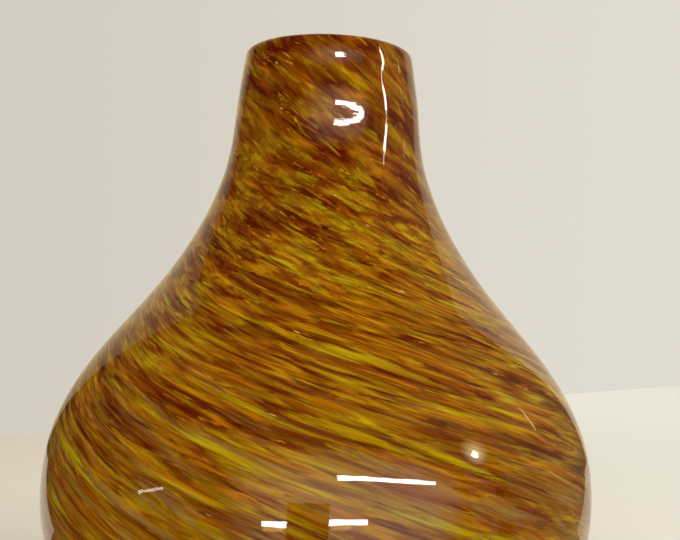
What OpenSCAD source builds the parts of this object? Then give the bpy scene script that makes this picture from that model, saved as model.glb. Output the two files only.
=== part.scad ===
// Hand-blown art glass vase: a round-bellied bottle vase with a narrow neck, worked in layers.
// Origin at the centre of the foot on the surface it stands on, +Z up, millimetres.
// A clear gather is blown into a bubble, covered with an amber ground, rolled in coloured glass
// chips that a twist draws into swirling streaks, and cased in a last clear overlay.

/* [Overall size] */
// Height from the foot to the top of the lip
height = 254; // [240:1:268]
// Widest diameter, across the belly
belly_d = 224; // [212:1:236]
// Outside diameter of the mouth where the lip starts to round over
mouth_d = 71; // [66:1:76]

/* [Foot] */
// Outside diameter of the ring ground flat to stand on
foot_d = 92; // [84:1:100]
// Diameter of the shallow polished dish where the pontil rod was cracked off
dish_d = 80; // [60:1:80]
// Height of that dish at its centre
dish_h = 3; // [1:0.5:4]

/* [Glass wall] */
// Thickness of the clear overlay
casing_t = 1.8; // [1.4:0.1:2.4]
// Thickness of the amber colour layer
ground_t = 1.0; // [0.6:0.1:1.4]
// Thickness of the first clear gather, inside the colour
gather_t = 2.4; // [1.8:0.1:3.2]
// Extra glass of the overlay under the base
casing_heel = 6; // [4:0.5:8]
// Extra glass of the first gather in the base
gather_heel = 5; // [3:0.5:7]

/* [Colour streaks] */
// Twist of the streaks round the axis for each span of the outline, in degrees
swirl = 43; // [20:1:48]
// Number of helical lanes that streaks lie in
lanes = 24; // [16:1:24]
// Number of streaks one above another in a lane
rows = 5; // [3:1:5]
// Widest part of a streak
streak_w = 7; // [4:0.5:8]
// Thickest part of a streak
streak_t = 0.8; // [0.5:0.1:1]

/* [Hidden] */

$fn = 96;
wall_t = casing_t + ground_t + gather_t;
lip_r = wall_t / 2;
// The wall leans in at the mouth, so the half-round lip stands a little lower than its radius.
lip_rise = 0.846 * lip_r;
steps_per_span = 5;

// Control points of the wall between the foot and the mouth, as shares of the belly's radius
// and of the height.
WALL_SHARES = [[0.51, 0], [0.635, 0.025], [0.80, 0.08], [0.965, 0.165], [1.01, 0.268], [0.987, 0.378],
               [0.854, 0.488], [0.62, 0.598], [0.455, 0.709], [0.362, 0.811], [0.347, 0.906]];
outline = concat(
    [[foot_d / 2, 0]],
    [for (share = WALL_SHARES) [share[0] * belly_d / 2, share[1] * height]],
    [[mouth_d / 2, height - lip_rise]]);
spans = len(outline) - 1;
span_len = height / (spans - 3);
// The base glass thins out to the plain wall at this height.
heel_top = 0.26 * height;

// The outline is a uniform cubic B-spline, so its end points are mirrored to reach both ends.
control = concat([2 * outline[0] - outline[1]], outline, [2 * outline[spans] - outline[spans - 1]]);

function unit(v) = v / norm(v);
function reversed(list) = [for (i = [len(list) - 1 : -1 : 0]) list[i]];
function jitter(index, salt) = let (wave = 437.58 * sin(127.1 * index + 311.7 * salt)) wave - floor(wave);

// Point and upward tangent of the outside wall at u, which counts spans from the foot.
function span_at(u) = min(floor(u), spans - 1);
function wall_point(u) =
    let (i = span_at(u), t = u - i, s = 1 - t)
    (pow(s, 3) * control[i] + (3 * pow(t, 3) - 6 * t * t + 4) * control[i + 1]
        + (3 * pow(s, 3) - 6 * s * s + 4) * control[i + 2] + pow(t, 3) * control[i + 3]) / 6;
function wall_tangent(u) =
    let (i = span_at(u), t = u - i, s = 1 - t)
    unit(-s * s * control[i] + (3 * t * t - 4 * t) * control[i + 1]
        - (3 * s * s - 4 * s) * control[i + 2] + t * t * control[i + 3]);

// The same point sunk into the glass by depth, and raised over the base by up to heel.
function sunk_point(u, depth, heel = 0) =
    let (p = wall_point(u), tangent = wall_tangent(u), thin = max(0, 1 - p[1] / heel_top))
    [p[0] - tangent[1] * depth, p[1] + tangent[0] * depth + heel * thin * thin];

function wall_curve(depth, heel = 0) =
    [for (step = [0 : spans * steps_per_span - 1]) sunk_point(step / steps_per_span, depth, heel)];

// Stretch of the half-round lip between two depths in the wall.
function lip_arc(from, to, steps = 4) =
    [for (step = [0 : steps])
        let (depth = from + (to - from) * step / steps,
             rise = sqrt(max(0, lip_r * lip_r - pow(depth - lip_r, 2))))
        sunk_point(spans, depth) + rise * wall_tangent(spans)];

// Underside from the centre of the dish out to its rim.
function dish_arc(steps = 8) =
    let (ball_r = (pow(dish_d / 2, 2) + dish_h * dish_h) / (2 * dish_h))
    [for (step = [0 : steps])
        let (r = dish_d / 2 * step / steps)
        [r, dish_h - ball_r + sqrt(ball_r * ball_r - r * r)]];

// A closed bubble of glass between two depths, from its floor to the lip.
module bubble(outer, outer_heel, inner, inner_heel) {
    outside = wall_curve(outer, outer_heel);
    inside = wall_curve(inner, inner_heel);
    rotate_extrude()
        polygon(concat([[0, outside[0][1]]], outside, lip_arc(outer, inner), reversed(inside),
                       [[0, inside[0][1]]]));
}

module clear_casing() {
    inside = wall_curve(casing_t, casing_heel);
    color([0.95, 0.90, 0.78, 0.4])
        rotate_extrude()
            polygon(concat(dish_arc(), wall_curve(0), lip_arc(0, casing_t), reversed(inside),
                           [[0, inside[0][1]]]));
}

module amber_ground() {
    color([0.55, 0.27, 0.02])
        bubble(casing_t, casing_heel, casing_t + ground_t, casing_heel);
}

module inner_gather() {
    color([0.72, 0.48, 0.20])
        bubble(casing_t + ground_t, casing_heel, wall_t, casing_heel + gather_heel);
}

// Corner of a streak: u along the outline, angle round the axis, depth in the wall.
function on_wall(u, angle, depth) =
    let (p = sunk_point(u, depth))
    [p[0] * cos(angle), p[0] * sin(angle), p[1]];

// One chip drawn out along the swirl: a lens section with pointed ends, half sunk in the ground
// and half in the overlay. It runs from low on the wall to high, so its angle falls.
module streak(start, length, angle, width, stations = 7) {
    half_w = width / 2 / span_len;
    half_t = streak_t / 2;
    function middle(t) = start + length * t;
    function heading(t) = angle - swirl * middle(t);
    function corner(t, side, lift) =
        let (swell = pow(sin(180 * t), 0.6))
        on_wall(middle(t) + side * swell * half_w, heading(t), casing_t - lift * swell * half_t);
    rings = [for (station = [1 : stations])
                let (t = station / (stations + 1))
                each [corner(t, 0, 1), corner(t, 1, 0), corner(t, 0, -1), corner(t, -1, 0)]];
    tips = [on_wall(middle(0), heading(0), casing_t), on_wall(middle(1), heading(1), casing_t)];
    top_tip = 4 * stations + 1;
    last_ring = top_tip - 4;
    polyhedron(
        points = concat([tips[0]], rings, [tips[1]]),
        faces = concat(
            [for (k = [0 : 3]) [0, 1 + k, 1 + (k + 1) % 4]],
            [for (ring = [0 : stations - 2], k = [0 : 3])
                let (a = 1 + 4 * ring + k, b = 1 + 4 * ring + (k + 1) % 4)
                each [[a, b + 4, b], [a, a + 4, b + 4]]],
            [for (k = [0 : 3]) [top_tip, last_ring + (k + 1) % 4, last_ring + k]]));
}

// Every fourth streak of the lanes, starting with the tint's own.
module streaks(tint) {
    lowest = 1.9;
    row_step = (spans - 0.3 - lowest) / rows;
    for (lane = [0 : lanes - 1], row = [0 : rows - 1]) {
        index = lane * rows + row;
        if ((lane + 2 * row + floor(lane / 4)) % 4 == tint)
            streak(start = lowest + row_step * (row + 0.2 * jitter(index, 1)),
                   length = row_step * (0.55 + 0.2 * jitter(index, 2)),
                   angle = 360 / lanes * (lane + 0.2 * jitter(index, 3)),
                   width = streak_w * (0.55 + 0.45 * jitter(index, 4)));
    }
}

module oxblood_streaks() {
    color([0.34, 0.07, 0.02]) streaks(0);
}

module orange_streaks() {
    color([0.80, 0.38, 0.02]) streaks(1);
}

module gold_streaks() {
    color([0.78, 0.55, 0.05]) streaks(2);
}

module lemon_streaks() {
    color([0.85, 0.78, 0.05]) streaks(3);
}

inner_gather();
amber_ground();
oxblood_streaks();
orange_streaks();
gold_streaks();
lemon_streaks();
clear_casing();
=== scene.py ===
"""A hand-blown art glass vase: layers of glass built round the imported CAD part.

Each piece is a lathe mesh or a group of drawn-out chips that stands for its CAD node. The casing
and the inner gather are real glass in the render. The colour between them is opaque, and the drawn
chips float in the casing, just over it.
"""
import math

import bpy
import numpy as np
from mathutils import Matrix, Vector


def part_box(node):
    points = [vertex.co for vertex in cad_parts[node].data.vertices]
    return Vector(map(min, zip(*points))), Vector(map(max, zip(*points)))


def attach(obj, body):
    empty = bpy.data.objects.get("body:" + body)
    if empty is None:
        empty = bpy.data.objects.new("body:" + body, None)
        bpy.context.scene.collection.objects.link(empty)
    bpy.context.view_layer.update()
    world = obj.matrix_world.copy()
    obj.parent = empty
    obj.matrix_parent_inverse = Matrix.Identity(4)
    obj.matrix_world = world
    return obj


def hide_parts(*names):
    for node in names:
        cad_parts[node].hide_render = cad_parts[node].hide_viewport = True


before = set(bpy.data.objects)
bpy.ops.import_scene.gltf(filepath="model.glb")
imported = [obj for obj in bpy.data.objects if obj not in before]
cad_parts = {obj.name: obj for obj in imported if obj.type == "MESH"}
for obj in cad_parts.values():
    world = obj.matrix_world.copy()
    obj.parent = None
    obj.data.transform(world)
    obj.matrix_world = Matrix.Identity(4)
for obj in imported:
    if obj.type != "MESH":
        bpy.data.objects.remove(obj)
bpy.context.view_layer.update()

MM = 0.001

# ---------------------------------------------------------------- sizes, from the frame

casing_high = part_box("clear_casing")[1]
ground_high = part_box("amber_ground")[1]
gather_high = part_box("inner_gather")[1]

HEIGHT = casing_high.z
BELLY_R = casing_high.x
GROUND_DEPTH = BELLY_R - ground_high.x        # how deep the colour lies under the clear casing
GATHER_DEPTH = BELLY_R - gather_high.x        # and how deep the inner gather lies
WALL_T = 5.2 * MM
LIP_R = WALL_T / 2
LIP_RISE = 0.846              # height of the lip over the wall's end, in lip radii

FOOT_R = 46 * MM              # outer radius of the standing ring
MOUTH_R = 35.5 * MM
DISH_R = 40 * MM              # the polished dish of the pontil mark
DISH_H = 3 * MM
# The outline's other control points, as in the CAD source: shares of the belly radius and the height.
WALL_SHARES = [(0.51, 0), (0.635, 0.025), (0.80, 0.08), (0.965, 0.165), (1.01, 0.268), (0.987, 0.378),
               (0.854, 0.488), (0.62, 0.598), (0.455, 0.709), (0.362, 0.811), (0.347, 0.906)]
CASING_HEEL = 6 * MM          # extra thickness of the casing over the base
GATHER_HEEL = 5 * MM          # and of the gather
HEEL_TOP = 0.26 * HEIGHT      # where that thickening has died out

SEGMENTS = 320                # round the axis
STEPS_PER_SPAN = 18           # along each span of the outline
OVERLAP = 0.06 * MM           # the colour reaches this far into the clear glass on both sides

# The streaks' own coordinates. Lengths are in metres along the wall.
TWIST_LOW = math.radians(1.0) / MM            # turn of the streaks for each metre, at the foot
TWIST_GAIN = math.radians(0.003) / MM**2      # and how much more for each metre up the wall
NECK_ARC = 0.190              # where the neck's look begins
NECK_BLEND = 0.080            # and how much further on it is complete
NECK_NARROWING = 0.52         # how much wider streaks are on the neck, as a share taken off the flow
FLOW_PER_METRE = 16           # units of flow for each metre along the wall
FLOW_STRETCH = 0.19           # and how much faster it runs on the neck, where chips are shorter,
FLOW_EASE = 0.045             # once it is well past this length


# ---------------------------------------------------------------- the outline

def control_points():
    """The B-spline's control points, mirrored at both ends so that it reaches them."""
    wall = [(r * BELLY_R, z * HEIGHT) for r, z in WALL_SHARES]
    points = np.array([(FOOT_R, 0.0)] + wall + [(MOUTH_R, HEIGHT - LIP_RISE * LIP_R)])
    return np.vstack([2 * points[0] - points[1], points, 2 * points[-1] - points[-2]])


def spline_point(control, t):
    """Where a span of a uniform cubic B-spline is at t, from its four control points."""
    a, b, c, d = control
    s = 1 - t
    return (s**3 * a + (3 * t**3 - 6 * t * t + 4) * b + (3 * s**3 - 6 * s * s + 4) * c
            + t**3 * d) / 6


def spline_slope(control, t):
    """Which way the span goes at t, as a vector of any length."""
    a, b, c, d = control
    s = 1 - t
    return -s * s * a + (3 * t * t - 4 * t) * b - (3 * s * s - 4 * s) * c + t * t * d


def sample_outline(steps):
    """Points and upward unit tangents along the outside wall, from the foot to the mouth."""
    control = control_points()
    spans = len(control) - 3
    points, tangents = [], []
    for step in range(spans * steps + 1):
        span = min(step // steps, spans - 1)
        t = step / steps - span
        span_points = control[span:span + 4]
        points.append(spline_point(span_points, t))
        slope = spline_slope(span_points, t)
        tangents.append(slope / np.hypot(*slope))
    return np.array(points), np.array(tangents)


WALL, TANGENT = sample_outline(STEPS_PER_SPAN)
ARC = np.concatenate([[0], np.cumsum(np.hypot(*np.diff(WALL, axis=0).T))])


def sunk(depth, heel=0.0):
    """The wall's outline sunk by depth, and raised over the base by up to heel. Columns: r, z, arc."""
    thin = np.clip(1 - WALL[:, 1] / HEEL_TOP, 0, None)
    r = WALL[:, 0] - TANGENT[:, 1] * depth
    z = WALL[:, 1] + TANGENT[:, 0] * depth + heel * thin**2
    return np.column_stack([r, z, ARC])


def lip(start, end, steps):
    """Stretch of the half-round lip between two depths in the wall."""
    depth = np.linspace(start, end, steps + 1)
    rise = np.sqrt(np.clip(LIP_R**2 - (depth - LIP_R)**2, 0, None))
    tangent = TANGENT[-1]
    r = WALL[-1, 0] - tangent[1] * depth + rise * tangent[0]
    z = WALL[-1, 1] + tangent[0] * depth + rise * tangent[1]
    return np.column_stack([r, z, ARC[-1] + rise])


def floor_line(row, steps=16):
    """From the axis out to the first row of a sunk outline, at its height."""
    r = np.linspace(0, row[0], steps + 1)[:-1]
    return np.column_stack([r, np.full_like(r, row[1]), row[2] - (row[0] - r)])


def dish_line(steps=16):
    """Underside: the polished dish of the pontil mark, out to the standing ring."""
    ball = (DISH_R**2 + DISH_H**2) / (2 * DISH_H)
    r = np.linspace(0, DISH_R, steps + 1)
    z = DISH_H - ball + np.sqrt(ball**2 - r**2)
    return np.column_stack([r, z, r - FOOT_R])


# ---------------------------------------------------------------- mesh building

# Hand-worked unevenness of the neck: where the wall leans out and back again, or stands proud.
# Each row: height of the swell in mm, its azimuth from the front and spread in degrees, and its
# arc and spread in mm.
LEANS = ((1.07, 29.0, 34.6, 277.0, 10.1), (0.90, 1.2, 33.4, 300.5, 4.3))
SWELLS = ((0.277, 10.7, 13.4, 279.7, 13.7),)
# Slow waves over the rest: height in mm, waves round the axis, phase at the foot, and phase gained
# from the foot to the lip.
WAVES = ((0.22, 2, 1.1, 5), (0.10, 3, 0.0, -9), (0.05, 5, 0.7, 17), (0.04, 2, 0.0, 26))
WAVES_FULL = 0.12             # share of the height by which the waves have grown from nothing
NECK_CALM = 0.85              # share of the waves that the neck lacks


def uneven_neck(theta, arc):
    """How far the neck stands out at its own leans and swells, in metres."""
    azimuth = np.degrees(np.arctan2(np.cos(theta), -np.sin(theta)))
    out = np.zeros_like(arc)
    for rows, leaning in ((LEANS, True), (SWELLS, False)):
        for height, middle, spread, at, reach in rows:
            u = (arc / MM - at) / reach
            local = np.exp(-((azimuth - middle) / spread)**2 / 2 - u * u / 2)
            out = out + height * MM * local * (u if leaning else 1)
    return out


def wobble(theta, z, arc):
    """Hand-made unevenness of the wall: how far it stands out, in metres."""
    share = z / HEIGHT
    ripple = sum(height * np.sin(count * theta + start + gain * share)
                 for height, count, start, gain in WAVES)
    grown = np.clip(share / WAVES_FULL, 0, 1)
    calm = 1 - NECK_CALM * neck_share(arc)
    return ripple * MM * grown * calm + uneven_neck(theta, arc)


def turn(arc):
    """How far the streaks have turned round the axis at a distance along the wall."""
    return TWIST_LOW * arc + TWIST_GAIN * arc * arc / 2


def neck_share(arc):
    """0 on the belly, rising to 1 on the neck, where the glass is stretched least."""
    share = np.clip((arc - NECK_ARC) / NECK_BLEND, 0, 1)
    return share * share * (3 - 2 * share)


def along_flow(arc):
    """Distance along the wall as the streaks count it."""
    arc = np.asarray(arc)
    past = np.clip(arc - NECK_ARC, 0, None)
    return FLOW_PER_METRE * (arc + FLOW_STRETCH * past**2 / (past + FLOW_EASE))


def flow_coordinates(theta, arc):
    """Where a point lies in the glass before the twist: round a cylinder, and along it."""
    straight = theta + turn(arc)
    width = 1 - NECK_NARROWING * neck_share(arc)
    return np.column_stack([width * np.cos(straight), width * np.sin(straight), along_flow(arc)])


def add_flow(mesh, theta, arc):
    """Stores the flow coordinates on the mesh, for the materials to read."""
    attribute = mesh.attributes.new("flow", "FLOAT_VECTOR", "POINT")
    attribute.data.foreach_set("vector", flow_coordinates(theta, arc).astype(np.float32).ravel())


def finish_piece(name, verts, faces, theta, arc, material, node):
    """Makes the mesh into a smooth piece that stands for a CAD node."""
    mesh = bpy.data.meshes.new(name)
    mesh.from_pydata([tuple(v) for v in verts], [], faces)
    mesh.validate()
    add_flow(mesh, theta, arc)
    mesh.shade_smooth()
    mesh.materials.append(material)
    piece = bpy.data.objects.new(name, mesh)
    bpy.context.scene.collection.objects.link(piece)
    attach(piece, "root")
    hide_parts(node)
    return piece


def lathe_faces(rings):
    """Bands of quads between the rings, and a fan of triangles round each of the two poles."""
    first_pole, last_pole = rings * SEGMENTS, rings * SEGMENTS + 1
    top = (rings - 1) * SEGMENTS
    faces = []
    for ring in range(rings - 1):
        here = ring * SEGMENTS
        for k in range(SEGMENTS):
            after = (k + 1) % SEGMENTS
            faces.append((here + k, here + after, here + SEGMENTS + after, here + SEGMENTS + k))
    for k in range(SEGMENTS):
        after = (k + 1) % SEGMENTS
        faces.append((first_pole, after, k))
        faces.append((last_pole, top + k, top + after))
    return faces


def lathe(name, profile, material, node):
    """A closed solid of revolution from a profile that starts and ends on the axis."""
    rings = profile[1:-1]
    theta = np.tile(np.arange(SEGMENTS) * math.tau / SEGMENTS, len(rings))
    r, z, arc = (np.repeat(rings[:, k], SEGMENTS) for k in range(3))
    near_axis = np.clip(r / FOOT_R, 0, 1)
    r = r + wobble(theta, z, arc) * near_axis
    poles = [(0, 0, profile[0, 1]), (0, 0, profile[-1, 1])]
    verts = np.vstack([np.column_stack([r * np.cos(theta), r * np.sin(theta), z]), poles])
    theta = np.append(theta, [0, 0])
    arc = np.append(arc, [profile[0, 2], profile[-1, 2]])
    finish_piece(name, verts, lathe_faces(len(rings)), theta, arc, material, node)


def bubble_profile(outer, outer_heel, inner, inner_heel):
    """Profile of a closed layer between two depths: over the outside, the lip and the inside."""
    outside = sunk(outer, outer_heel)
    inside = sunk(inner, inner_heel)
    return np.vstack([floor_line(outside[0]), outside[:-1], lip(outer, inner, 6), inside[:-1][::-1],
                      floor_line(inside[0])[::-1]])


def casing_profile():
    """Profile of the casing: the dish underneath, the outside, the lip, and the face over the colour."""
    inside = sunk(GROUND_DEPTH, CASING_HEEL)
    return np.vstack([dish_line(), sunk(0)[:-1], lip(0, GROUND_DEPTH, 8), inside[:-1][::-1],
                      floor_line(inside[0])[::-1]])


# ---------------------------------------------------------------- materials

class Tree:
    """Short helpers for building a node tree."""

    def __init__(self, name, world=False):
        holder = bpy.data.worlds.new(name) if world else bpy.data.materials.new(name)
        holder.use_nodes = True
        self.holder = holder
        self.tree = holder.node_tree
        self.tree.nodes.clear()

    def node(self, kind, **settings):
        node = self.tree.nodes.new(kind)
        inputs = settings.pop("inputs", {})
        for key, value in settings.items():
            setattr(node, key, value)
        for key, value in inputs.items():
            if isinstance(value, bpy.types.NodeSocket):
                self.tree.links.new(value, node.inputs[key])
            else:
                node.inputs[key].default_value = value
        return node

    def math(self, operation, *values, clamp=False):
        node = self.node("ShaderNodeMath", operation=operation, use_clamp=clamp,
                         inputs=dict(enumerate(values)))
        return node.outputs[0]

    def inverse(self, value):
        """1 where the value is 0, and 0 where it is 1."""
        return self.math("SUBTRACT", 1.0, value)

    def vector(self, operation, a, b=None, scale=None):
        inputs = {0: a}
        if b is not None:
            inputs[1] = b
        if scale is not None:
            inputs["Scale"] = scale
        node = self.node("ShaderNodeVectorMath", operation=operation, inputs=inputs)
        return node.outputs[0]

    def noise(self, vector, scale, detail=2.0, roughness=0.5):
        node = self.node("ShaderNodeTexNoise", inputs={
            "Vector": vector, "Scale": scale, "Detail": detail, "Roughness": roughness})
        return node.outputs["Fac"]

    def step(self, value, low, high):
        """Smooth step from 0 below low to 1 above high."""
        node = self.node("ShaderNodeMapRange", interpolation_type="SMOOTHSTEP", inputs={
            "Value": value, "From Min": low, "From Max": high})
        return node.outputs["Result"]

    def mix(self, factor, a, b):
        node = self.node("ShaderNodeMix", data_type="RGBA", inputs={0: factor, 6: a, 7: b})
        return node.outputs[2]

    def ramp(self, value, stops):
        node = self.node("ShaderNodeValToRGB", inputs={0: value})
        elements = node.color_ramp.elements
        elements.remove(elements[1])
        elements[0].position, elements[0].color = stops[0]
        for position, colour in stops[1:]:
            elements.new(position).color = colour
        return node.outputs[0]

    def output(self, shader, kind="ShaderNodeOutputMaterial"):
        self.node(kind, inputs={0: shader})
        return self.holder


def srgb(r, g, b):
    """A colour given in 8-bit display values, as linear RGBA."""
    def linear(v):
        v = v / 255
        return v / 12.92 if v <= 0.04045 else ((v + 0.055) / 1.055) ** 2.4
    return (linear(r), linear(g), linear(b), 1.0)


OXBLOOD = srgb(84, 20, 1)
BROWN = srgb(106, 48, 3)
RUST = srgb(120, 64, 4)
AMBER = srgb(134, 81, 6)
HONEY = srgb(148, 96, 8)
OLIVE = srgb(142, 110, 8)
GOLD = srgb(164, 114, 10)
ORANGE = srgb(176, 104, 3)
STRAW = srgb(184, 142, 8)
LEMON = srgb(180, 154, 6)
# Mauve for a painted reflection of the pale room, laid into streaks low on the belly.
MAUVE_REFLECTION = srgb(136, 106, 64)
HAIR = srgb(188, 152, 66)
# Pale colour of the seeds: a painted glint, as if each bubble caught the light.
SEED_GLINT = srgb(236, 196, 120)


# Slow bends of the streaks, and the slip of each fibre along its neighbours, in units of flow.
BEND_SCALE = 3.2
BEND_REACH = (0.14, 0.14, 0.30)
SLIP_REACH = 0.24

# Heights along the flow over which the look changes.
LEAVING_LOW = (1.1, 2.6)      # from the low belly to the shoulder
REFLECTION_STREAKS_END = (1.6, 3.0)        # the painted mauve reflection streaks die out
RINGS_BEGIN = (3.0, 4.2)      # the faint rings round the neck set in
ONTO_NECK = (3.0, 4.5)        # from the shoulder to the neck

# The glass's colours from dark to light, each at a value of the blended streak noise.
TONES = ((0.13, OXBLOOD), (0.30, BROWN), (0.41, RUST), (0.50, AMBER), (0.60, HONEY), (0.70, GOLD),
         (0.88, STRAW), (1.0, LEMON))
# Noises blended into the tone: features across and along, share, shift, detail.
PATCHES = ((5, 3.6, 0.90, 3.1, 1.0),)
BROAD_STREAKS = ((13, 8.5, 1.18, 12.0, 2.0),)
FINE_STREAKS = ((24, 12.0, 0.98, 71.0, 2.0), (50, 15.0, 0.45, 23.0, 2.0))
# Their contrast: low on the belly, and what is added on the neck. It is 1 on the shoulder.
CONTRASTS = ((PATCHES, 0.26, 0.40), (BROAD_STREAKS, 0.48, -0.16), (FINE_STREAKS, 0.40, -0.54))
MIDDLE_TONE = 0.5
HIGH_TONE = -0.03             # added to the tone from the shoulder up
NECK_TONE = -0.12             # and again on the neck, which is darker
LOW_TINT = (1.03, 1.13, 1.15, 1)              # the colours lean to olive low on the belly
HIGH_TINT = (0.93, 1.0, 1.0, 1)               # and lose a little red from the shoulder up
WARM, COOL = (1.09, 0.90, 0.9, 1), (0.92, 1.14, 1.0, 1)     # slow drift of the hue,
HUE_EDGE = (0.36, 0.64)       # from one to the other over these noise values
# Chips let into it: colour, features across and along, least noise, shift.
CHIPS = ((RUST, 12, 9.0, 0.60, 34.0), (OLIVE, 12, 9.0, 0.61, 12.0), (ORANGE, 11, 9.0, 0.64, 45.0),
         (BROWN, 18, 11.0, 0.62, 56.0), (STRAW, 20, 11.0, 0.64, 67.0), (HAIR, 95, 6.0, 0.67, 91.0))
CHIP_EDGE = 0.09              # how softly a chip ends, in noise values
CHIP_SHARE = 0.85             # how much of a chip's colour shows
MAUVE_REFLECTION_SHARE = 0.52            # how much of the painted mauve reflection shows in its own streaks
MAUVE_REFLECTION_EDGE = (0.50, 0.64)     # noise values over which they set in
SEED_CELLS = (9.0, 9.0, 5.0)  # cells per unit of flow, with at most one seed in each
SEED_EDGE = (0.020, 0.060)    # how far from the middle of its cell a seed ends
SEEDLESS = 0.45               # share of the cells with no seed

DRAWN_FRAY = 4.0              # how far the fibres of a drawn chip stand in and out at its edge
DRAWN_EDGE = (0.10, 1.10)     # body over which it goes from clear to full
DRAWN_SHARE = 0.85            # how much of its colour shows when full
NECK_FADE = 0.35              # and how much less on the neck
DRAWN_SHADING = 1.2           # how much lighter and darker its fibres are

# The clear glass's surface: features of its ripples and of its rings, per unit of flow.
RIPPLES = (7, 7, 3)
RINGS = (2.5, 2.5, 55)
RING_SHARE = 0.50             # height of the rings, where a ripple's is 1
BUMP_DISTANCE = 0.6 * MM
BUMP_STRENGTH = 0.03


def streak_noise(t, flow, across, along, shift, detail=2.0, roughness=0.5):
    """Noise drawn out along the streaks. across and along are features per unit of flow."""
    scaled = t.vector("MULTIPLY", flow, (across, across, along))
    moved = t.vector("ADD", scaled, (shift, shift * 1.7, shift * 0.6))
    return t.noise(moved, 1.0, detail, roughness)


def centred_noise(t, flow, across, along, shift, detail, roughness):
    """The same noise, about zero."""
    return t.math("SUBTRACT", streak_noise(t, flow, across, along, shift, detail, roughness), 0.5)


def flow_of(t):
    return t.node("ShaderNodeAttribute", attribute_name="flow").outputs["Vector"]


def place_of(t):
    """The object's own x, y and z."""
    place = t.node("ShaderNodeTexCoord").outputs["Object"]
    return t.node("ShaderNodeSeparateXYZ", inputs={0: place}).outputs


def between(t, low, high):
    """0 below one height along the flow, and 1 above another."""
    return t.step(t.node("ShaderNodeSeparateXYZ", inputs={0: flow_of(t)}).outputs[2], low, high)


def ragged_flow(t):
    """Flow coordinates with slow bends, and with each fibre slipped along its neighbours.

    The bends make streaks wander as hot glass does, and the slip gives chips stringy ends.
    """
    flow = flow_of(t)
    bend = t.node("ShaderNodeTexNoise", inputs={"Vector": flow, "Scale": BEND_SCALE, "Detail": 2.0})
    centred = t.vector("SUBTRACT", bend.outputs["Color"], (0.5, 0.5, 0.5))
    flow = t.vector("ADD", flow, t.vector("MULTIPLY", centred, BEND_REACH))
    slip = centred_noise(t, flow, 26, 2.6, 2.3, 3.0, 0.6)
    slipped = t.node("ShaderNodeCombineXYZ", inputs={2: t.math("MULTIPLY", slip, SLIP_REACH)})
    return t.vector("ADD", flow, slipped.outputs[0])


def blended(t, flow, noises):
    total = 0.0
    for across, along, share, shift, detail in noises:
        noise = centred_noise(t, flow, across, along, shift, detail, 0.5)
        total = t.math("ADD", total, t.math("MULTIPLY", noise, share))
    return total


def ground_tone(t, flow, above):
    """The blended streak noise, which grows calmer low on the belly and coarser on the neck."""
    neck = between(t, *ONTO_NECK)
    change = t.math("ADD", t.math("MULTIPLY", neck, NECK_TONE), t.math("MULTIPLY", above, HIGH_TONE))
    tone = t.math("ADD", MIDDLE_TONE, change)
    for noises, low, added in CONTRASTS:
        contrast = t.math("ADD", t.math("ADD", low, t.math("MULTIPLY", above, 1 - low)),
                          t.math("MULTIPLY", neck, added))
        tone = t.math("ADD", tone, t.math("MULTIPLY", blended(t, flow, noises), contrast))
    return tone


def chipped(t, flow, colour):
    """Lets chips of other colours into it."""
    for chip, across, along, least, shift in CHIPS:
        noise = streak_noise(t, flow, across, along, shift, 3.0, 0.55)
        mask = t.step(noise, least, least + CHIP_EDGE)
        colour = t.mix(t.math("MULTIPLY", mask, CHIP_SHARE), colour, chip)
    return colour


def mauve_reflection_streaks(t, flow, colour):
    """Lets in mauve streaks up to the shoulder: a painted reflection of the pale room."""
    streaks = t.step(streak_noise(t, flow, 15, 4.0, 78.0, 3.0, 0.6), *MAUVE_REFLECTION_EDGE)
    streaks = t.math("MULTIPLY", streaks, t.inverse(between(t, *REFLECTION_STREAKS_END)))
    return t.mix(t.math("MULTIPLY", streaks, MAUVE_REFLECTION_SHARE), colour, MAUVE_REFLECTION)


def with_seed_glints(t, colour):
    """Adds seeds, the pin-head bubbles of hand-made glass, as pale dots: a painted glint on each."""
    cells = t.node("ShaderNodeTexVoronoi", inputs={
        "Vector": t.vector("MULTIPLY", flow_of(t), SEED_CELLS), "Scale": 1.0})
    dot = t.inverse(t.step(cells.outputs["Distance"], *SEED_EDGE))
    chosen = t.node("ShaderNodeSeparateColor", inputs={0: cells.outputs["Color"]}).outputs[0]
    dot = t.math("MULTIPLY", dot, t.math("GREATER_THAN", chosen, SEEDLESS))
    return t.mix(dot, colour, SEED_GLINT)


def ground_colour(t):
    flow = ragged_flow(t)
    above = between(t, *LEAVING_LOW)
    colour = t.ramp(ground_tone(t, flow, above), TONES)
    colour = t.vector("MULTIPLY", colour, t.mix(above, LOW_TINT, HIGH_TINT))
    hue = t.step(streak_noise(t, flow, 10, 6.5, 88.0, 2.0), *HUE_EDGE)
    colour = t.vector("MULTIPLY", colour, t.mix(hue, WARM, COOL))
    return with_seed_glints(t, mauve_reflection_streaks(t, flow, chipped(t, flow, colour)))


def ground_material():
    t = Tree("amber_glass")
    shader = t.node("ShaderNodeBsdfPrincipled", inputs={
        "Base Color": ground_colour(t), "Roughness": 0.5, "Specular IOR Level": 0.0})
    return t.output(shader.outputs[0])


def uneven_surface(t):
    """Slow ripples all over, and faint rings round the neck, as a bent normal."""
    flow = flow_of(t)
    ripple = t.noise(t.vector("MULTIPLY", flow, RIPPLES), 1.0)
    rings = t.noise(t.vector("MULTIPLY", flow, RINGS), 1.0)
    rings = t.math("MULTIPLY", t.math("MULTIPLY", rings, between(t, *RINGS_BEGIN)), RING_SHARE)
    bump = t.node("ShaderNodeBump", inputs={
        "Strength": BUMP_STRENGTH, "Distance": BUMP_DISTANCE, "Height": t.math("ADD", ripple, rings)})
    return bump.outputs[0]


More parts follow.
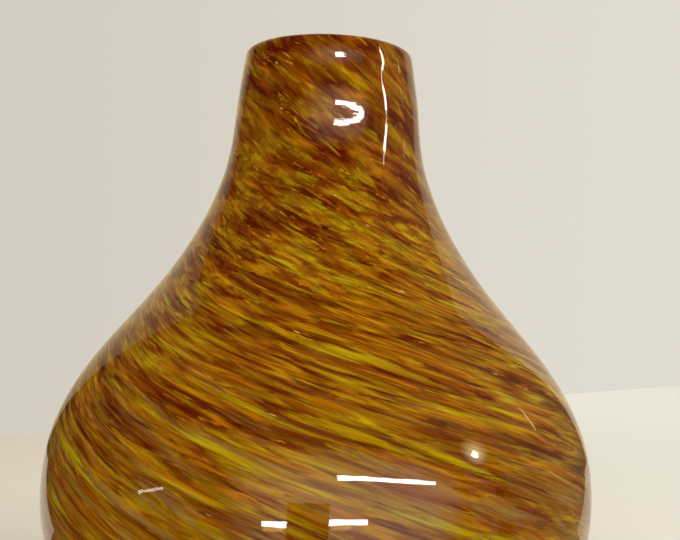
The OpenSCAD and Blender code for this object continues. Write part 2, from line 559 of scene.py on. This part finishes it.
def glass_material(name, tint, roughness):
    """Clear glass that lets light through to the colour below it."""
    t = Tree(name)
    glass = t.node("ShaderNodeBsdfPrincipled", inputs={
        "Base Color": tint, "Roughness": roughness, "IOR": 1.5, "Transmission Weight": 1.0,
        "Normal": uneven_surface(t)})
    clear = t.node("ShaderNodeBsdfTransparent", inputs={"Color": tint})
    path = t.node("ShaderNodeLightPath")
    passing = t.math("MAXIMUM", path.outputs["Is Shadow Ray"], path.outputs["Is Diffuse Ray"])
    shader = t.node("ShaderNodeMixShader", inputs={0: passing, 1: glass.outputs[0], 2: clear.outputs[0]})
    return t.output(shader.outputs[0])


def chip_material(name, tint, shift):
    """Coloured glass drawn into a streak, which frays along its edges and at its ends."""
    t = Tree(name)
    flow = ragged_flow(t)
    body = t.node("ShaderNodeAttribute", attribute_name="body").outputs["Fac"]
    fibre = centred_noise(t, flow, 34, 7.0, shift, 3.0, 0.6)
    fray = t.math("ADD", t.math("MULTIPLY", fibre, DRAWN_FRAY), 1.0)
    most = t.math("SUBTRACT", DRAWN_SHARE, t.math("MULTIPLY", between(t, *ONTO_NECK), NECK_FADE))
    alpha = t.math("MULTIPLY", t.step(t.math("MULTIPLY", body, fray), *DRAWN_EDGE), most)
    shade = centred_noise(t, flow, 40, 11.0, shift + 9, 2.0, 0.5)
    lightness = t.math("ADD", t.math("MULTIPLY", shade, DRAWN_SHADING), 1.0)
    shader = t.node("ShaderNodeBsdfPrincipled", inputs={
        "Base Color": t.vector("SCALE", tint[:3], scale=lightness), "Roughness": 0.5,
        "Specular IOR Level": 0.0, "Alpha": alpha})
    return t.output(shader.outputs[0])


# ---------------------------------------------------------------- chips drawn into streaks

# Piece, CAD node, slot and material, colour, shift of its noises, seed, count, greatest width, and
# least and greatest length. Lengths are in metres.
DRAWN_CHIPS = (
    ("oxblood_chips", "oxblood_streaks", "oxblood_glass", srgb(96, 38, 3),
     4.0, 11, 150, 0.0050, 0.006, 0.018),
    ("orange_chips", "orange_streaks", "orange_glass", srgb(168, 100, 6),
     17.0, 12, 110, 0.0046, 0.006, 0.016),
    ("gold_chips", "gold_streaks", "gold_glass", srgb(166, 122, 8),
     31.0, 13, 220, 0.0044, 0.008, 0.022),
    ("lemon_chips", "lemon_streaks", "lemon_glass", srgb(164, 138, 5),
     43.0, 14, 100, 0.0060, 0.010, 0.030))
CHIP_STATIONS = 22            # rings along a chip
# A chip's section: how far across it each corner is, and how far up, in halves of its size.
CHIP_SECTION = ((-1, 0), (-0.55, 0.8), (0, 1), (0.55, 0.8), (1, 0), (0.5, -0.7), (-0.5, -0.7))
CHIP_DEPTHS = (1.0 * MM, 1.55 * MM)           # under the outside of the casing
THICKEST = 0.22 * MM          # half of a chip's greatest thickness
NARROWEST = 0.35              # a chip's least width, as a share of its greatest
NECK_SHORTENING = 0.55        # share of its length that a chip loses on the neck
WANDER = 0.03                 # how far a chip bends to either side, in radians
FOOT_MARGIN, LIP_MARGIN = 0.015, 0.008        # no chip's middle is nearer to the foot or the lip
FOOT_END, LIP_END = 0.004, 0.001              # and no chip's end is


def on_wall(theta, arc, depth):
    """A point in the glass at a depth under the outside, as columns x, y, z."""
    r = np.interp(arc, ARC, WALL[:, 0]) - np.interp(arc, ARC, TANGENT[:, 1]) * depth
    z = np.interp(arc, ARC, WALL[:, 1]) + np.interp(arc, ARC, TANGENT[:, 0]) * depth
    r = r + wobble(theta, z, arc)
    return np.column_stack([r * np.cos(theta), r * np.sin(theta), z])


def chip_width_angle(width, arc):
    """The angle round the axis that a streak's width takes up, given how the streaks slope there."""
    radius = np.interp(arc, ARC, WALL[:, 0])
    crossing = 1 / np.sqrt(1 + (radius * (TWIST_LOW + TWIST_GAIN * arc))**2)
    return width / (radius * crossing)


def lens_rings(centre, half_angle, arc, depth, half_thick, body):
    """The corners of a chip, ring by ring: points, angle, arc and body, which is -1 underneath."""
    corners = []
    for across, lift in CHIP_SECTION:
        theta = centre + across * half_angle
        thickness = (1 - across * across) * body if lift >= 0 else np.full_like(body, -1)
        corners.append((on_wall(theta, arc, depth - lift * half_thick), theta, arc, thickness))
    points, angles, arcs, bodies = (np.stack(column, axis=1) for column in zip(*corners))
    return points.reshape(-1, 3), angles.ravel(), arcs.ravel(), bodies.ravel()


def drawn_chip(draw, widest, shortest, longest):
    """One streak, with a lens section along the swirl. Returns points, angle, arc and body."""
    middle = draw.uniform(FOOT_MARGIN, ARC[-1] - LIP_MARGIN)
    short = 1 - NECK_SHORTENING * neck_share(middle)
    half = draw.uniform(shortest, longest) * short / 2
    depth = draw.uniform(*CHIP_DEPTHS)
    half_width = draw.uniform(NARROWEST, 1.0) * widest / 2
    half_thick = min(THICKEST, half_width / 3)
    wander = draw.uniform(-WANDER, WANDER)
    phase = draw.uniform(0, math.tau)
    straight = draw.uniform(0, math.tau)
    t = np.linspace(0, 1, CHIP_STATIONS)
    arc = np.clip(middle + half * (2 * t - 1), FOOT_END, ARC[-1] - LIP_END)
    # It tapers at both ends, and swells, thins and wanders a little in between.
    swell = np.sin(math.pi * np.clip(t, 0.004, 0.996))**0.7 * (1 + 0.3 * np.sin(phase + 9 * t))
    centre = straight - turn(arc) + wander * np.sin(phase + 5 * t)
    body = np.sin(math.pi * t)**0.5
    return lens_rings(centre, chip_width_angle(half_width * swell, arc), arc, depth,
                      half_thick * swell, body)


def chip_faces(first):
    """Faces of one chip, whose points start at first: sides, and a cap at each end."""
    sides = len(CHIP_SECTION)
    faces = []
    for ring in range(CHIP_STATIONS - 1):
        for k in range(sides):
            here, after = first + ring * sides + k, first + ring * sides + (k + 1) % sides
            faces.append((here, here + sides, after + sides, after))
    faces.append(tuple(first + k for k in range(sides)))
    last = first + (CHIP_STATIONS - 1) * sides
    faces.append(tuple(last + k for k in reversed(range(sides))))
    return faces


def drawn_chips(name, node, slot, tint, shift, seed, count, widest, shortest, longest):
    """A piece made of many chips of one colour, which cast no shadows."""
    material = chip_material(slot, tint, shift)
    draw = np.random.default_rng(seed)
    chips, faces = [], []
    for chip in range(count):
        faces += chip_faces(chip * CHIP_STATIONS * len(CHIP_SECTION))
        chips.append(drawn_chip(draw, widest, shortest, longest))
    verts, theta, arc, body = (np.concatenate(part) for part in zip(*chips))
    piece = finish_piece(name, verts, faces, theta, arc, material, node)
    piece.visible_shadow = False
    attribute = piece.data.attributes.new("body", "FLOAT", "POINT")
    attribute.data.foreach_set("value", body.astype(np.float32))


# ---------------------------------------------------------------- the camera

CAMERA_PLACE = (0, -0.3994, 0.1499)
CAMERA_TURNS = ((-1.02, "Z"), (91.76, "X"), (1.55, "Z"))    # degrees, the last turn first
CAMERA_LENS = 49.64           # mm
SENSOR_WIDTH = 36             # mm


def make_camera():
    data = bpy.data.cameras.new("camera")
    data.sensor_width = SENSOR_WIDTH
    data.lens = CAMERA_LENS
    data.clip_start = 0.01
    camera = bpy.data.objects.new("camera", data)
    turned = Matrix.Identity(4)
    for degrees, axis in CAMERA_TURNS:
        turned = turned @ Matrix.Rotation(math.radians(degrees), 4, axis)
    camera.matrix_world = Matrix.Translation(CAMERA_PLACE) @ turned
    bpy.context.scene.collection.objects.link(camera)
    bpy.context.scene.camera = camera


# ---------------------------------------------------------------- floor, backdrop and lights

WALL_Y, WALL_SLANT = 0.835, 0.820             # the wall behind the vase: its y at x 0, and its slant
FLOOR_REACH = 2.4
# Strength of the painted pool of light that glows far off on the floor to the right.
FLOOR_LIGHT_POOL = 0.16
FLOOR_BEHIND = ((-0.59, 0.62, 0), (-0.26, 0.08, 0), (0.30, 0.11, 0), (0.69, 0.71, 0))
BACKDROP = ((-0.45, 0.7, 0), (0.50, 0.7, 0), (1.60, 0.7, 1.9), (-1.65, 0.7, 1.9), (-0.95, 0.7, 0.76),
            (-0.66, 0.7, 0.25))
LIT_WALL = ((-3, -3.05, -2.2), (5.2, -3.05, -2.2), (5.2, -3.05, 2.8), (-3, -3.05, 2.8))
DARK_POST = ((-0.58, -2.95, -2.2), (0.21, -2.95, -2.2), (0.21, -2.95, 0.46), (-0.58, -2.95, 0.46))

WHITE = (1, 1, 1, 1)
TUBE_GLOW = (1.0, 0.72, 0.3, 1)
# Glowing strips: name, start, end, width, strength, colour.
STRIPS = (
    ("ceiling_tube", (0.37, -3.0, 1.19), (3.1, -3.0, 1.19), 0.14, 30, WHITE),
    ("far_tube_right", (0.2, -3.0, 0.0), (0.97, -3.0, 0.0), 0.14, 30, WHITE),
    ("far_tube_left", (-1.09, -3.0, -0.08), (-0.5, -3.0, -0.08), 0.14, 30, WHITE),
    ("side_tube", (-2.7, -0.95, 0.2), (-2.5, -1.45, 0.42), 0.06, 9, (1.0, 0.88, 0.72, 1)),
    ("tube_glow_right", (0.25, -2.9, -0.12), (0.62, -2.9, -0.12), 0.10, 6, TUBE_GLOW),
    ("tube_glow_left", (-1.02, -2.9, -0.19), (-0.62, -2.9, -0.19), 0.10, 6, TUBE_GLOW),
    ("window_gap", (2.9, -0.69, -0.4), (2.9, -0.69, 2.3), 0.045, 18, (1.0, 0.90, 0.70, 1)),
    ("window_gap_wide", (2.89, -0.69, 0.95), (2.89, -0.69, 1.85), 0.17, 26, (1.0, 0.95, 0.82, 1)))
FAR_WINDOW = ("far_window", (2.9, 0.95, 1.1), (2.9, 0.95, 1.6), 0.03, 5, (1.0, 0.85, 0.6, 1))

# Where the belly and the neck mirror the light at the viewer's right.
BELLY_GLINT = Vector((0.045, -0.101, 0.101))
NECK_GLINT = Vector((0.017, -0.031, 0.228))
LAMP_WAY = Vector((0.867, -0.293, 0.404))     # from the belly towards the lamp
LAMP_AWAY = 0.29
LAMP_BULB, LAMP_HALO = 0.0075, 0.041          # radii of the lamp and of the glow round it
LAMP_SIDES = 32
LAMP_COLOUR = (1.0, 0.82, 0.52, 1)
BULB_STRENGTH, HALO_STRENGTH = 60.0, 14.0
CARD_WAY = Vector((0.313, -0.065, 0))         # from the belly's glint to the middle of the dark card
CARD_ACROSS = Vector((0.202, 0.979, 0)) * 0.022
CARD_LOW, CARD_HIGH = -0.1, 0.6

ROOM_LIGHT = (1.0, 0.98, 0.95)
LIGHT_AIM = Vector((0, 0, 0.1))


def link_stage(name, verts, faces, material):
    mesh = bpy.data.meshes.new(name)
    mesh.from_pydata(verts, [], faces)
    mesh.materials.append(material)
    obj = bpy.data.objects.new(name, mesh)
    bpy.context.scene.collection.objects.link(obj)
    return obj


def reflected(name, corners, material):
    """A flat sheet that is seen only where the glass mirrors it."""
    sheet = link_stage(name, corners, [tuple(range(len(corners)))], material)
    sheet.visible_camera = False
    sheet.visible_diffuse = False
    sheet.visible_transmission = False
    sheet.visible_volume_scatter = False
    sheet.visible_shadow = False
    return sheet


def glowing(t, colour, strength):
    shader = t.node("ShaderNodeEmission", inputs={"Color": colour, "Strength": strength})
    return t.output(shader.outputs[0])


def fade_in_and_out(t, value, rise, fall):
    """1 between the edges of a patch, fading in over the range rise and out over the range fall."""
    return t.math("MULTIPLY", t.step(value, *rise), t.inverse(t.step(value, *fall)))


def wall_line(x):
    """Where the floor meets the wall behind the vase, which stands at a slant: y for a given x."""
    return WALL_Y + WALL_SLANT * x


def floor_material():
    """A pale, faintly mottled floor with painted light: lighter to the right, and glowing far off there as
    a painted pool of light.
    """
    t = Tree("pale_floor")
    place = t.node("ShaderNodeTexCoord").outputs["Object"]
    mottle = t.noise(place, 30.0, 3.0)
    split = t.node("ShaderNodeSeparateXYZ", inputs={0: place})
    # Painted light: the floor grows lighter to the right, where more light falls.
    lit_rightward = t.step(split.outputs[0], -0.35, 0.45)
    tint = t.mix(lit_rightward, srgb(224, 214, 196), srgb(241, 236, 224))
    # A painted pool of light: far off to the right the floor glows.
    far_right_light_pool = t.math("MULTIPLY", lit_rightward, t.step(split.outputs[1], 0.3, 1.2))
    glow = t.math("MULTIPLY", far_right_light_pool, FLOOR_LIGHT_POOL)
    colour = t.mix(t.math("MULTIPLY", mottle, 0.4), tint, srgb(236, 230, 217))
    shader = t.node("ShaderNodeBsdfPrincipled", inputs={
        "Base Color": colour, "Roughness": 0.7, "Specular IOR Level": 0.0,
        "Emission Color": (1.0, 0.97, 0.91, 1), "Emission Strength": glow})
    return t.output(shader.outputs[0])


def make_floor():
    """The floor runs out to a slanting wall. The glass mirrors only the part behind it."""
    left, right = -FLOOR_REACH, FLOOR_REACH
    corners = [(left, left, 0), (right, left, 0), (right, wall_line(right), 0), (left, wall_line(left), 0)]
    floor = link_stage("floor", corners, [(0, 1, 2, 3)], floor_material())
    floor.visible_glossy = False
    reflected("floor_behind", FLOOR_BEHIND, glowing(Tree("floor_behind"), srgb(218, 209, 193), 1.0))


def make_world():
    """Soft room light, a pale wall for the camera with painted light that makes it lighter to the right,
    and a dim room for reflections.
    """
    t = Tree("studio", world=True)
    path = t.node("ShaderNodeLightPath")
    direction = t.node("ShaderNodeTexCoord").outputs["Generated"]
    aside = t.node("ShaderNodeSeparateXYZ", inputs={0: direction}).outputs[0]
    # Painted light: the wall the camera sees is lighter to the right.
    wall = t.mix(t.step(aside, -0.42, 0.40), srgb(211, 204, 192), srgb(225, 220, 208))
    room = t.node("ShaderNodeBackground", inputs={"Color": (1.0, 0.97, 0.92, 1), "Strength": 0.65})
    side = t.step(aside, 0.3, 0.95)
    dim = t.node("ShaderNodeBackground", inputs={
        "Color": t.mix(side, (0.05, 0.035, 0.022, 1), (0.25, 0.20, 0.13, 1)), "Strength": 1.0})
    seen = t.node("ShaderNodeBackground", inputs={"Color": wall, "Strength": 1.0})
    shader = t.node("ShaderNodeMixShader", inputs={
        0: path.outputs["Is Glossy Ray"], 1: room.outputs[0], 2: dim.outputs[0]})
    shader = t.node("ShaderNodeMixShader", inputs={
        0: path.outputs["Is Camera Ray"], 1: shader.outputs[0], 2: seen.outputs[0]})
    bpy.context.scene.world = t.output(shader.outputs[0], "ShaderNodeOutputWorld")


def make_backdrop_reflection():
    """A flared sheet behind the vase, which the glass mirrors along its edges."""
    t = Tree("backdrop")
    x, _, z = place_of(t)
    out = t.math("SUBTRACT", t.math("MULTIPLY", x, -1), t.math("MULTIPLY", z, 0.50))
    near = t.inverse(t.step(out, 0.10, 0.62))
    colour = t.mix(t.step(x, -0.3, 0.3), srgb(218, 202, 166), srgb(220, 204, 172))
    strength = t.math("ADD", 0.42, t.math("MULTIPLY", near, 0.63))
    reflected("backdrop", BACKDROP, glowing(t, colour, strength))


def make_lit_wall():
    """The wall behind the viewer: a patch of soft light, which fades out all round, and a dark post."""
    t = Tree("lit_wall")
    x, _, z = place_of(t)
    sides = fade_in_and_out(t, x, (-2.6, 0.6), (2.4, 5.0))
    heights = fade_in_and_out(t, z, (-2.0, 0.1), (0.7, 2.6))
    strength = t.math("MULTIPLY", t.math("MULTIPLY", sides, heights), 1.5)
    reflected("lit_wall", LIT_WALL, glowing(t, (0.98, 0.90, 0.80, 1), strength))
    reflected("dark_post", DARK_POST, glowing(Tree("dark_post"), (0.5, 0.34, 0.22, 1), 0.08))


def strip_light(name, start, end, width, strength, colour):
    """A flat glowing strip from start to end, facing the vase, seen only in reflections."""
    a, b = Vector(start), Vector(end)
    toward = ((a + b) / 2 - Vector((0, 0, HEIGHT / 2))).normalized()
    side = (b - a).cross(toward).normalized() * width / 2
    corners = [tuple(corner) for corner in (a - side, b - side, b + side, a + side)]
    reflected(name, corners, glowing(Tree(name), colour, strength))


def lamp_material():
    """A bright bulb in a warm glow that dies away round it."""
    t = Tree("lamp_glow")
    away = t.node("ShaderNodeVectorMath", operation="LENGTH",
                  inputs={0: t.node("ShaderNodeTexCoord").outputs["Object"]}).outputs["Value"]
    bulb = t.inverse(t.step(away, LAMP_BULB, LAMP_BULB * 1.15))
    halo = t.math("SUBTRACT", 1.0, t.math("DIVIDE", away, LAMP_HALO), clamp=True)
    strength = t.math("ADD", t.math("MULTIPLY", bulb, BULB_STRENGTH),
                      t.math("MULTIPLY", t.math("POWER", halo, 2.0), HALO_STRENGTH))
    return glowing(t, LAMP_COLOUR, strength)


def make_lamp():
    """A small lamp, turned edge-on to the neck so that only the belly shows it."""
    place = BELLY_GLINT + LAMP_WAY * LAMP_AWAY
    to_neck = (NECK_GLINT - place).normalized()
    to_belly = (BELLY_GLINT - place).normalized()
    facing = (to_belly - to_belly.dot(to_neck) * to_neck).normalized()
    upright = facing.cross(to_neck)
    stretch = 1 / facing.dot(to_belly)
    angles = [k * math.tau / LAMP_SIDES for k in range(LAMP_SIDES)]
    rim = [(LAMP_HALO * math.cos(angle), LAMP_HALO * math.sin(angle), 0) for angle in angles]
    disc = reflected("lamp", rim, lamp_material())
    turned = Matrix((to_neck, upright, facing)).transposed().to_4x4()
    disc.matrix_world = Matrix.Translation(place) @ turned @ Matrix.Diagonal((stretch, 1, 1, 1))


def make_window_card():
    """A dark card near the belly, which keeps the window gap from its sight but not from the neck's."""
    middle = BELLY_GLINT + CARD_WAY
    corners = [(*(middle + side * CARD_ACROSS).to_2d(), z) for side, z in
               ((-1, CARD_LOW), (1, CARD_LOW), (1, CARD_HIGH), (-1, CARD_HIGH))]
    reflected("window_card", corners, glowing(Tree("window_card"), (0.2, 0.14, 0.08, 1), 0.3))


def make_reflected_lights():
    for strip in STRIPS:
        strip_light(*strip)
    make_window_card()
    strip_light(*FAR_WINDOW)
    make_lamp()


def area_light(name, place, size, power):
    """A round light aimed at the vase, which the glass does not mirror."""
    data = bpy.data.lights.new(name, "AREA")
    data.shape = "DISK"
    data.size = size
    data.energy = power
    data.color = ROOM_LIGHT
    light = bpy.data.objects.new(name, data)
    light.location = place
    light.rotation_euler = (LIGHT_AIM - light.location).to_track_quat("-Z", "Y").to_euler()
    light.visible_glossy = False
    light.visible_camera = False
    bpy.context.scene.collection.objects.link(light)


# ---------------------------------------------------------------- build

make_camera()
make_floor()
make_world()
make_backdrop_reflection()
make_lit_wall()
make_reflected_lights()
area_light("key", place=(-0.8, -1.2, 1.6), size=0.9, power=12.5)
area_light("fill", place=(1.2, -0.8, 1.0), size=0.8, power=11.5)

clear_glass = glass_material("clear_glass", (1.0, 1.0, 0.98, 1), 0.0)
gather_glass = glass_material("gather_glass", (1.0, 0.97, 0.88, 1), 0.02)
ground_profile = bubble_profile(GROUND_DEPTH - OVERLAP, CASING_HEEL, GATHER_DEPTH + OVERLAP, CASING_HEEL)
gather_profile = bubble_profile(GATHER_DEPTH, CASING_HEEL, WALL_T, CASING_HEEL + GATHER_HEEL)
lathe("casing", casing_profile(), clear_glass, "clear_casing")
lathe("ground", ground_profile, ground_material(), "amber_ground")
lathe("gather", gather_profile, gather_glass, "inner_gather")
for chips in DRAWN_CHIPS:
    drawn_chips(*chips)

scene = bpy.context.scene
scene.view_settings.view_transform = "Standard"
scene.cycles.transparent_max_bounces = 24
